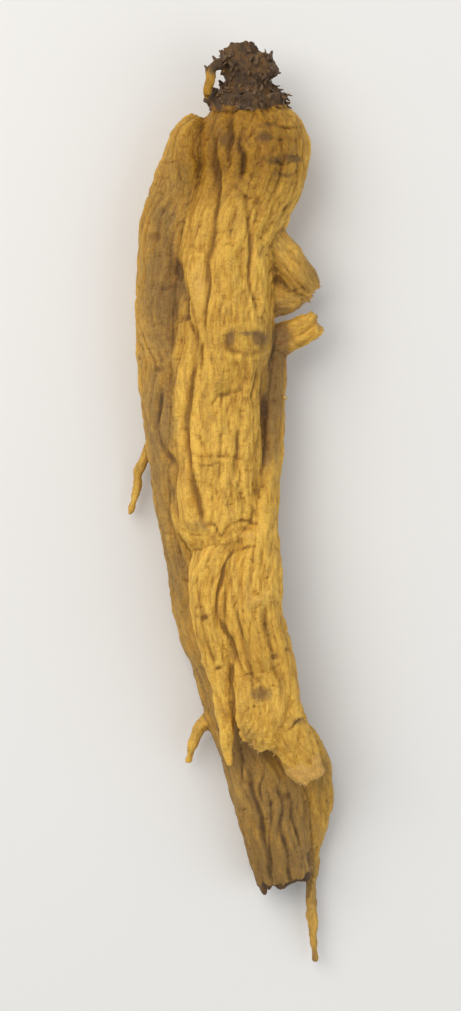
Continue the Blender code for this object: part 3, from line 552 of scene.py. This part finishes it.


# Stains and painted shade on the front: x, y, half width, half height, strength. Minus is a golden patch, on
# the head partly painted shade.
stainsAndShade = [
    # On the head the dark marks in the creases and the wide golden patch are partly painted shade.
    (-0.5, 37.1, 1.1, 1.3, 0.55), (4.4, 37.4, 1.4, 1.0, 0.5), (1.4, 34.0, 0.8, 6.0, 0.4),  # head
    (-1.5, 39.5, 1.0, 2.2, 0.4), (5.1, 38.8, 1.1, 0.4, 0.8), (4.8, 37.2, 0.9, 0.5, 0.7),
    (5.6, 34.3, 1.5, 0.4, 0.7), (8.4, 34.9, 1.2, 0.35, 0.8), (7.0, 32.8, 2.2, 0.4, 0.5),
    (8.0, 37.0, 1.4, 2.5, 0.25), (6.4, 35.0, 2.4, 0.7, 0.35),
    (2.8, 36.5, 8.0, 7.5, -1.2), (-4.5, 34.5, 4.0, 6.0, -0.5), (-2.8, 43.0, 1.5, 3.0, -1.0),
    (0.5, 12.5, 0.6, 1.1, 0.8), (4.0, 12.7, 0.9, 0.75, 1.1), (2.4, 13.2, 0.9, 0.25, 0.7),  # round the scar
    # The strip on the right is darkened as painted shade between it and the trunk, with some stain.
    (5.7, 6.0, 1.3, 7.0, 0.7), (5.4, 4.6, 1.0, 1.3, 0.3), (5.0, -1.5, 1.0, 2.5, 0.35),  # strip on the right
    (6.6, 13.2, 1.3, 3.4, 1.0),
    # The left side is darkened as painted shade of a neighbouring root, with a grey stain.
    (-6.6, 17.5, 1.9, 4.0, 0.3), (-7.6, 23.0, 2.6, 9.0, 0.4), (-8.2, 2.0, 2.4, 13.0, 0.4),  # left side
    (-7.4, 19.1, 1.6, 0.6, 0.5), (-3.2, -10.4, 1.4, 1.2, 0.5),
    (-1.0, 22.0, 3.0, 6.0, -0.3), (0.0, 6.0, 3.4, 4.0, -0.2),  # trunk
    # The patch at (2.4, -37.0) is painted shade where the leg lies over the taproot.
    (4.3, -30.8, 1.3, 1.0, 0.5), (2.4, -37.0, 2.2, 2.4, 0.5), (8.8, -34.3, 1.0, 0.5, 0.5),  # legs
    (3.5, -27.0, 2.2, 5.0, -0.3), (-2.2, -24.0, 1.6, 5.0, -0.25),
]


def stainAndShadeMap(points, facing):  # brown stains and painted shade, then golden patches
    brown, gold = np.zeros((2, len(points)))
    for x, y, halfWidth, halfHeight, strength in stainsAndShade:
        spread = ((points[:, 0] - x) / halfWidth) ** 2 + ((points[:, 1] - y) / halfHeight) ** 2
        patch = strength * np.exp(-spread) * facing
        brown, gold = brown + np.maximum(patch, 0.0), gold - np.minimum(patch, 0.0)
    return np.clip(brown, 0.0, 1.0), np.clip(gold, 0.0, 1.0)


def toCadBox(points):  # laid on its flat spots and fitted to the solid's own box
    points[:, 2] = np.maximum(points[:, 2] - points[:, 2].min() - rootForm["flatSpotDepth"], 0.0)
    low, high = points.min(axis=0), points.max(axis=0)
    return cadLow + (points - low) / (high - low) * (cadHigh - cadLow)


# The small pieces keep this far inside the box, in metres.
detailClear = {"sides": 0.0016, "floor": 0.002, "top": 0.0012}


def makeSkin():
    limbs = {name: Limb(rows) for name, rows in limbRows.items()}
    root = joinLimbs(limbs)
    mesh = root.data
    points, normals = vertexArray(mesh, "co"), vertexArray(mesh, "normal")
    facing = np.clip(normals[:, 2] * 2.0, 0.0, 1.0)
    stained, gold = stainAndShadeMap(points, facing)
    folds, raised, creased, calm, pitted = foldHeights(points, facing)
    ends, torn, frayed, endShade = brokenEnds(points, normals, limbs)
    wrinkles, tone, barked, place = limbSkin(points, limbs)
    for i in np.flatnonzero(barked):  # rough bark on the crown
        across, above, along = place[i]
        ridges = rootForm["barkRidges"] * noiseAt(across * 1.7, above * 1.7, along * 0.5)
        rings = rootForm["barkRings"] * noiseAt(across * 0.4, above * 0.4, along * 2.6)
        wrinkles[i] += barked[i] * (ridges + rings)
    points += normals * (folds + ends + wrinkles * (1.0 - scarForm["calmShare"] * calm))[:, None]
    points = toCadBox(points)
    mesh.vertices.foreach_set("co", points.astype(np.float32).ravel())
    mesh.update()
    edges = np.empty(len(mesh.edges) * 2, np.int32)
    mesh.edges.foreach_get("vertices", edges)
    edges = edges.reshape(-1, 2)
    normals = vertexArray(mesh, "normal")
    fine = hollowness(points, normals, edges, 4) / mm
    broad = hollowness(points, normals, edges, 40) / mm
    sides = detailClear["sides"]
    inside = ((points[:, :2] > cadLow[:2] + sides) & (points[:, :2] < cadHigh[:2] - sides)).all(axis=1)
    inside &= (points[:, 2] > detailClear["floor"]) & (points[:, 2] < cadHigh[2] - detailClear["top"])
    smoothSkin = (barked < 0.1) * (endShade < 0.1) * (torn < 0.1)
    attributes = {
        # The bark mask also carries the painted shadow on the taproot's broken end.
        "fineHollow": fine, "broadHollow": broad, "tone": tone, "barked": np.maximum(barked, 0.9 * endShade),
        "raised": raised, "pitted": pitted, "creased": creased, "torn": torn, "stained": stained,
        "gold": gold, "place": place, "fibreHere": frayed * inside,
        "barkHere": barked * (barked > 0.6) * inside,
        "stubHere": np.clip(1.0 - 0.8 * facing, 0.0, 1.0) * smoothSkin * inside,
    }
    for name, values in attributes.items():
        setAttribute(mesh, name, values)
    mesh.shade_smooth()
    print("skin:", len(mesh.polygons), "faces")
    return root


# Shader nodes
class Value:  # wraps a socket, so that shader maths is written as plain expressions
    def __init__(self, nodes, socket):
        self.nodes, self.socket = nodes, socket

    def maths(self, operation, first, second):
        return self.nodes.add("ShaderNodeMath", {"operation": operation}, {0: first, 1: second})

    def __add__(self, other): return self.maths("ADD", self, other)
    def __radd__(self, other): return self.maths("ADD", other, self)
    def __sub__(self, other): return self.maths("SUBTRACT", self, other)
    def __rsub__(self, other): return self.maths("SUBTRACT", other, self)
    def __mul__(self, other): return self.maths("MULTIPLY", self, other)
    def __rmul__(self, other): return self.maths("MULTIPLY", other, self)

    def between(self, low, high):  # 0 at low, 1 at high, smooth between
        return self.nodes.add("ShaderNodeMapRange", {"interpolation_type": "SMOOTHSTEP"},
                              {"Value": self, "From Min": low, "From Max": high})

    def limited(self):
        return self.nodes.add("ShaderNodeClamp", {}, {"Value": self})


class Nodes:
    def __init__(self, tree):
        self.tree = tree

    def add(self, kind, settings, inputs, output=0):
        node = self.tree.nodes.new(kind)
        for name, value in settings.items():
            setattr(node, name, value)
        for key, value in inputs.items():
            if isinstance(value, Value):
                self.tree.links.new(value.socket, node.inputs[key])
            else:
                node.inputs[key].default_value = value
        return Value(self, node.outputs[output])

    def attribute(self, name, output="Fac"):
        return self.add("ShaderNodeAttribute", {"attribute_name": name}, {}, output)

    def mix(self, factor, first, second, blend="MIX"):
        first, second = (c if isinstance(c, Value) else (*c, 1.0) for c in (first, second))
        return self.add("ShaderNodeMix", {"data_type": "RGBA", "blend_type": blend, "clamp_factor": True},
                        {0: factor, 6: first, 7: second}, 2)

    def noise(self, vector, scale, detail=3.0, roughness=0.55, distortion=0.0):
        return self.add("ShaderNodeTexNoise", {}, {"Vector": vector, "Scale": scale, "Detail": detail,
                                                   "Roughness": roughness, "Distortion": distortion})

    def stretched(self, vector, scale):
        return self.add("ShaderNodeMapping", {}, {"Vector": vector, "Scale": scale})


def newMaterial(name):
    material = bpy.data.materials.new(name)
    material.use_nodes = True
    nodes = Nodes(material.node_tree)
    shader = material.node_tree.nodes["Principled BSDF"]
    return material, nodes, shader


def finishShader(nodes, shader, inputs):
    for key, value in inputs.items():
        if isinstance(value, Value):
            nodes.tree.links.new(value.socket, shader.inputs[key])
        else:
            shader.inputs[key].default_value = value


skinLook = {
    "bright": (0.82, 0.485, 0.078), "mid": (0.56, 0.285, 0.033), "goldenAndShaded": (0.43, 0.34, 0.05),
    "brown": (0.31, 0.16, 0.035), "furrow": (0.19, 0.092, 0.022), "stainShadeColour": (0.22, 0.128, 0.047),
    "barkAndShade": (0.07, 0.04, 0.02), "pale": (0.6, 0.34, 0.085), "rust": (0.25, 0.095, 0.025),
    # How much of each mark shows
    "mottleShare": 0.45, "furrowShare": 0.7, "crossShare": 0.34, "crackleShare": 0.14, "speckShare": 0.12,
    "stainShadeShare": 0.8, "shadedFurrowShare": 0.7, "goldShadeShare": 0.9, "rustShare": 0.6, "pitShare": 0.8,
    "fibreShare": 0.55,
    "roughness": 0.62, "specular": 0.3, "bumpStrength": 0.7, "bumpDepth": 0.00034,
    "subsurface": 0.12, "subsurfaceDepth": 0.0009, "subsurfaceColour": (1.0, 0.55, 0.25),
}
# Patterns that follow the limbs: stretch, scale in each mm, detail, roughness, distortion.
limbPatterns = {
    "streaks": ((1.0, 1.0, 0.24), 1.7, 4.0, 0.65, 0.5), "fibres": ((1.0, 1.0, 0.12), 5.5, 3.0, 0.6, 0.0),
    "across": ((0.35, 0.35, 1.6), 1.7, 3.0, 0.6, 0.0), "crackle": ((0.55, 0.55, 1.5), 4.2, 3.0, 0.65, 0.4),
    "mottles": ((1.0, 1.0, 0.3), 0.95, 5.0, 0.7, 0.6),
}
# Patterns on object coordinates: scale in each metre, detail, roughness.
spotPatterns = {"blotches": (210.0, 3.0, 0.55), "patches": (75.0, 2.0, 0.5), "speckle": (1700.0, 2.0, 0.6)}


def skinMaterial():
    material, nodes, shader = newMaterial("dried_skin")
    look = skinLook
    place = nodes.attribute("place", "Vector")
    objectPlace = nodes.add("ShaderNodeTexCoord", {}, {}, "Object")
    fineHollow, broadHollow, tone, raised, pitted, torn, stained, creased, barked, gold = (
        nodes.attribute(name) for name in ("fineHollow", "broadHollow", "tone", "raised", "pitted", "torn",
                                           "stained", "creased", "barked", "gold"))
    streaks, fibres, across, crackle, mottles = (
        nodes.noise(nodes.stretched(place, stretch), *values) for stretch, *values in limbPatterns.values())
    blotches, patches, speckle = (nodes.noise(objectPlace, *values) for values in spotPatterns.values())
    # Ochre skin, brighter in streaks, brighter on the ridges and darker in hollows: partly dust and dirt,
    # partly painted highlight and shade
    lift = (streaks * 2.4 + blotches * 1.1 - 1.25 - fineHollow * 4.0 - broadHollow * 0.8).between(0.0, 1.0)
    colour = nodes.mix(lift, look["mid"], look["bright"])
    # Brown mottles, then furrows and creases painted darker: partly the skin's own brown lines, partly painted
    # shade
    deep = (fineHollow * 7.0 + broadHollow * 1.7 + (streaks - 0.5) * 0.7).between(0.12, 1.15)
    deep = (deep * 0.85 + creased * (streaks * 1.5 - 0.1)).limited()
    colour = nodes.mix((mottles.between(0.45, 0.64) * look["mottleShare"]).limited(), colour, look["brown"])
    colour = nodes.mix(deep * look["furrowShare"], colour, look["furrow"])
    # Short dark lines across, and specks
    crossLines = across.between(0.60, 0.70) * blotches.between(0.42, 0.6)
    colour = nodes.mix(crossLines * look["crossShare"], colour, look["furrow"])
    colour = nodes.mix(crackle.between(0.56, 0.68) * look["crackleShare"], colour, look["furrow"])
    colour = nodes.mix(speckle.between(0.58, 0.72) * look["speckShare"], colour, look["rust"])
    # Painted shade on the lower and hidden parts, and stains that are part real and part painted shade, mixed
    # towards dusky brown
    uneven = (blotches * 0.7 + streaks * 0.9 - 0.8) * (tone + stained).between(0.05, 0.3)
    stainAndShade = (tone * 0.95 + stained * 0.9 + uneven).between(0.08, 0.75)
    colour = nodes.mix(stainAndShade * look["stainShadeShare"], colour, look["stainShadeColour"])
    # Creases and hollows within the darker parts are painted near black: painted shade.
    shadedFurrows = (creased + fineHollow * 3.0).limited() * stainAndShade
    colour = nodes.mix(shadedFurrows * look["shadedFurrowShare"], colour, look["barkAndShade"])
    # Deep gold on the head and in patches; on the head it is partly painted shade
    goldenAndShaded = (patches.between(0.48, 0.68) * 0.35 + gold).limited()
    colour = nodes.mix(goldenAndShaded * look["goldShadeShare"], colour, look["goldenAndShaded"], "MULTIPLY")
    rusty = stained * speckle.between(0.5, 0.62)
    colour = nodes.mix(rusty * look["rustShare"], colour, look["rust"])
    # Dark bark on the crown, and painted shadow as a dark rim on the taproot's broken end
    barkAndShade = nodes.mix(mottles.between(0.42, 0.6) * 0.6, look["barkAndShade"], look["furrow"])
    barkEdge = barked + ((blotches - 0.5) * 0.9 + (streaks - 0.5) * 0.9) * barked.between(0.0, 0.2)
    colour = nodes.mix(barkEdge.between(0.35, 0.7), colour, barkAndShade)
    # The pits are painted darker: painted shade.
    colour = nodes.mix(pitted * look["pitShare"], colour, look["furrow"])
    # Broken ends and raised lips are pale
    bare = (torn + (streaks - 0.5) * 1.5 + (blotches - 0.5) * 0.8) * torn.between(0.0, 0.15)
    paleEnds = bare.between(0.35, 0.95) * (1.0 - deep * 0.6) * 0.9
    paleLips = raised * 0.55 * streaks.between(0.32, 0.6)
    colour = nodes.mix((paleEnds + paleLips).limited(), colour, look["pale"])
    fibreShade = nodes.mix(fibres, (0.2, 0.2, 0.2), (0.82, 0.82, 0.82))
    colour = nodes.mix(look["fibreShare"], colour, fibreShade, "OVERLAY")
    roughness = look["roughness"] + deep * 0.2 - goldenAndShaded * 0.12 + (speckle - 0.5) * 0.2
    grain = (fibres * 0.7 + speckle * 0.16 + across * 0.3 + streaks * 0.55
             - crackle.between(0.5, 0.7) * 0.2)
    bump = nodes.add("ShaderNodeBump", {}, {"Strength": look["bumpStrength"], "Distance": look["bumpDepth"],
                                            "Height": grain})
    finishShader(nodes, shader, {
        "Base Color": colour, "Roughness": roughness, "Normal": bump, "Specular IOR Level": look["specular"],
        "Subsurface Weight": look["subsurface"], "Subsurface Scale": look["subsurfaceDepth"],
        "Subsurface Radius": look["subsurfaceColour"]})
    return material


def detailMaterial(name, base, tint, roughness):  # for the small pieces on the skin
    material, nodes, shader = newMaterial(name)
    objectPlace = nodes.add("ShaderNodeTexCoord", {}, {}, "Object")
    mottle = nodes.noise(objectPlace, 900.0, 3.0, 0.6)
    grain = nodes.noise(objectPlace, 5200.0, 2.0, 0.6)
    colour = nodes.mix(mottle.between(0.35, 0.65), base, tint)
    bump = nodes.add("ShaderNodeBump", {}, {"Strength": 0.5, "Distance": 0.00006, "Height": grain + mottle})
    roughness = roughness + (grain - 0.5) * 0.2
    finishShader(nodes, shader, {"Base Color": colour, "Roughness": roughness, "Normal": bump})
    return material


# Small pieces that grow on the skin, scattered by one Geometry Nodes tree
def scatterTree():
    tree = bpy.data.node_groups.new("growOnSkin", "GeometryNodeTree")
    nodes = Nodes(tree)
    tree.interface.new_socket("Geometry", in_out="OUTPUT", socket_type="NodeSocketGeometry")
    kinds = {"Surface": "NodeSocketObject", "Where": "NodeSocketString", "Per square metre": "NodeSocketFloat",
             "Length": "NodeSocketFloat", "Foot radius": "NodeSocketFloat", "Tip radius": "NodeSocketFloat",
             "Flatness": "NodeSocketFloat", "Bend": "NodeSocketFloat", "Lean": "NodeSocketFloat",
             "Smallest": "NodeSocketFloat", "Largest": "NodeSocketFloat",
             "Seed": "NodeSocketInt", "Finish": "NodeSocketMaterial"}
    for label, kind in kinds.items():
        tree.interface.new_socket(label, in_out="INPUT", socket_type=kind)
    given = tree.nodes.new("NodeGroupInput")
    value = {label: Value(nodes, given.outputs[label]) for label in kinds}
    surface = nodes.add("GeometryNodeObjectInfo", {}, {"Object": value["Surface"]}, "Geometry")
    where = nodes.add("GeometryNodeInputNamedAttribute", {"data_type": "FLOAT"}, {"Name": value["Where"]}, 0)
    spread = tree.nodes.new("GeometryNodeDistributePointsOnFaces")
    density = where * value["Per square metre"]
    for key, link in {"Mesh": surface, "Density": density, "Seed": value["Seed"]}.items():
        tree.links.new(link.socket, spread.inputs[key])
    shape = nodes.add("GeometryNodeMeshCone", {}, {
        "Vertices": 7, "Side Segments": 4, "Radius Top": value["Tip radius"],
        "Radius Bottom": value["Foot radius"], "Depth": value["Length"]}, "Mesh")
    thinner = nodes.add("ShaderNodeCombineXYZ", {}, {"X": 1.0, "Y": value["Flatness"], "Z": 1.0})
    shape = nodes.add("GeometryNodeTransform", {}, {"Geometry": shape, "Scale": thinner})
    spot = nodes.add("GeometryNodeInputPosition", {}, {})
    rise = nodes.add("ShaderNodeSeparateXYZ", {}, {0: spot}, "Z")
    offset = nodes.add("ShaderNodeCombineXYZ", {}, {"Y": rise * rise * value["Bend"]})
    shape = nodes.add("GeometryNodeSetPosition", {}, {"Geometry": shape, "Offset": offset})
    turn = nodes.add("FunctionNodeRandomValue", {"data_type": "FLOAT_VECTOR"},
                     {0: (0.5, -0.3, -3.14), 1: (1.0, 0.3, 3.14), "Seed": value["Seed"] + 1})
    lean = nodes.add("ShaderNodeCombineXYZ", {}, {"X": value["Lean"], "Y": value["Lean"], "Z": 1.0})
    turn = nodes.add("ShaderNodeVectorMath", {"operation": "MULTIPLY"}, {0: turn, 1: lean})
    facing = nodes.add("FunctionNodeRotateRotation", {"rotation_space": "LOCAL"},
                       {0: Value(nodes, spread.outputs["Rotation"]), 1: turn})
    size = nodes.add("FunctionNodeRandomValue", {"data_type": "FLOAT"},
                     {2: value["Smallest"], 3: value["Largest"], "Seed": value["Seed"] + 2}, 1)
    copies = nodes.add("GeometryNodeInstanceOnPoints", {}, {
        "Points": Value(nodes, spread.outputs["Points"]), "Instance": shape, "Rotation": facing, "Scale": size})
    real = nodes.add("GeometryNodeRealizeInstances", {}, {"Geometry": copies})
    done = nodes.add("GeometryNodeSetMaterial", {}, {"Geometry": real, "Material": value["Finish"]})
    out = tree.nodes.new("NodeGroupOutput")
    tree.links.new(done.socket, out.inputs["Geometry"])
    return tree


def scatter(name, tree, surface, values):
    piece = newObject(name, bpy.data.meshes.new(name))
    values = {**values, "Surface": surface, "Finish": detailMaterial(*values["finish"])}
    grow = piece.modifiers.new("grow", "NODES")
    grow.node_group = tree
    for item in tree.interface.items_tree:
        if item.in_out == "INPUT":
            grow[item.identifier] = values[item.name]
    mesh = plainMesh(piece)
    points = np.clip(vertexArray(mesh, "co"), cadLow, cadHigh)
    mesh.vertices.foreach_set("co", points.astype(np.float32).ravel())
    mesh.update()
    mesh.shade_smooth()
    print(name + ":", len(mesh.polygons), "faces")
    return piece


# The finish is its name, two colours and the roughness. Lengths here are in metres.
rootletStubs = {
    "Where": "stubHere", "Per square metre": 5000.0, "Length": 0.00075, "Foot radius": 0.00034,
    "Tip radius": 0.00019, "Flatness": 0.8, "Bend": 260.0, "Lean": 0.9, "Smallest": 0.5, "Largest": 1.25,
    "Seed": 7, "finish": ("rootlet_skin", (0.4, 0.22, 0.05), (0.6, 0.37, 0.09), 0.7),
}
tornFibres = {
    "Where": "fibreHere", "Per square metre": 1500000.0, "Length": 0.0005, "Foot radius": 0.00009,
    "Tip radius": 0.00003, "Flatness": 1.0, "Bend": 300.0, "Lean": 0.6, "Smallest": 0.4, "Largest": 1.0,
    "Seed": 3, "finish": ("torn_wood", (0.4, 0.23, 0.06), (0.58, 0.36, 0.12), 0.75),
}
barkSplinters = {
    "Where": "barkHere", "Per square metre": 1200000.0, "Length": 0.0009, "Foot radius": 0.0004,
    "Tip radius": 0.00016, "Flatness": 0.35, "Bend": 120.0, "Lean": 1.35, "Smallest": 0.45, "Largest": 1.1,
    "Seed": 11, "finish": ("dark_bark", (0.06, 0.033, 0.017), (0.17, 0.095, 0.04), 0.8),
}


def addToRoot(piece):
    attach(piece, "root")


skin = makeSkin()
skin.data.materials.clear()
skin.data.materials.append(skinMaterial())
growOnSkin = scatterTree()
stubs = scatter("rootlet_stubs", growOnSkin, skin, rootletStubs)
fibres = scatter("torn_fibres", growOnSkin, skin, tornFibres)
splinters = scatter("bark_splinters", growOnSkin, skin, barkSplinters)
for name in ("fibreHere", "barkHere", "stubHere"):
    skin.data.attributes.remove(skin.data.attributes[name])
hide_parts("ginseng_root")
for piece in (skin, stubs, fibres, splinters):
    addToRoot(piece)
print("root dressed")

# Pale floor, soft light and a camera that looks straight down
studio = {
    "floorSize": 3.0, "floorDrop": 0.00005, "floorColour": (0.76, 0.75, 0.73), "floorShade": 0.97,
    "keyPower": 1.5, "keySize": 0.4, "keyPlace": (-0.20, 0.17, 0.34), "keyColour": (1.0, 0.95, 0.88),
    "fillPower": 0.6, "fillSize": 0.4, "fillPlace": (0.32, -0.10, 0.30), "fillColour": (0.92, 0.96, 1.0),
    "skyStrength": 0.5, "skyColour": (0.93, 0.96, 1.0), "focalLength": 85.0, "cameraHeight": 0.304,
}


def makeFloor():
    bm = bmesh.new()
    bmesh.ops.create_grid(bm, x_segments=1, y_segments=1, size=studio["floorSize"] / 2)
    for vertex in bm.verts:
        vertex.co.z = -studio["floorDrop"]
    mesh = bpy.data.meshes.new("floor")
    bm.to_mesh(mesh)
    bm.free()
    floor = newObject("floor", mesh)
    material, nodes, shader = newMaterial("pale_floor")
    objectPlace = nodes.add("ShaderNodeTexCoord", {}, {}, "Object")
    cloud = nodes.noise(objectPlace, 14.0, 2.0)
    shade = tuple(studio["floorShade"] * channel for channel in studio["floorColour"])
    colour = nodes.mix(cloud, shade, studio["floorColour"])
    finishShader(nodes, shader, {"Base Color": colour, "Roughness": 0.85})
    mesh.materials.append(material)
    floor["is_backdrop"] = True


def makeLight(name):
    light = bpy.data.lights.new(name, "AREA")
    light.size = studio[name + "Size"]
    light.energy = studio[name + "Power"]
    light.color = studio[name + "Colour"]
    lamp = newObject(name, light)
    lamp.location = studio[name + "Place"]
    lamp.rotation_euler = lamp.location.to_track_quat("Z", "Y").to_euler()


def makeCamera():
    camera = bpy.data.cameras.new("camera")
    camera.lens = studio["focalLength"]
    camera.clip_start = 0.01
    eye = newObject("camera", camera)
    eye.location = (0.0, 0.0, studio["cameraHeight"])
    bpy.context.scene.camera = eye


def makeSky():
    world = bpy.data.worlds.new("softSky")
    world.use_nodes = True
    background = world.node_tree.nodes["Background"]
    background.inputs["Color"].default_value = (*studio["skyColour"], 1.0)
    background.inputs["Strength"].default_value = studio["skyStrength"]
    bpy.context.scene.world = world


makeFloor()
makeLight("key")
makeLight("fill")
makeSky()
makeCamera()
bpy.context.scene.view_settings.view_transform = "Standard"
print("studio ready")
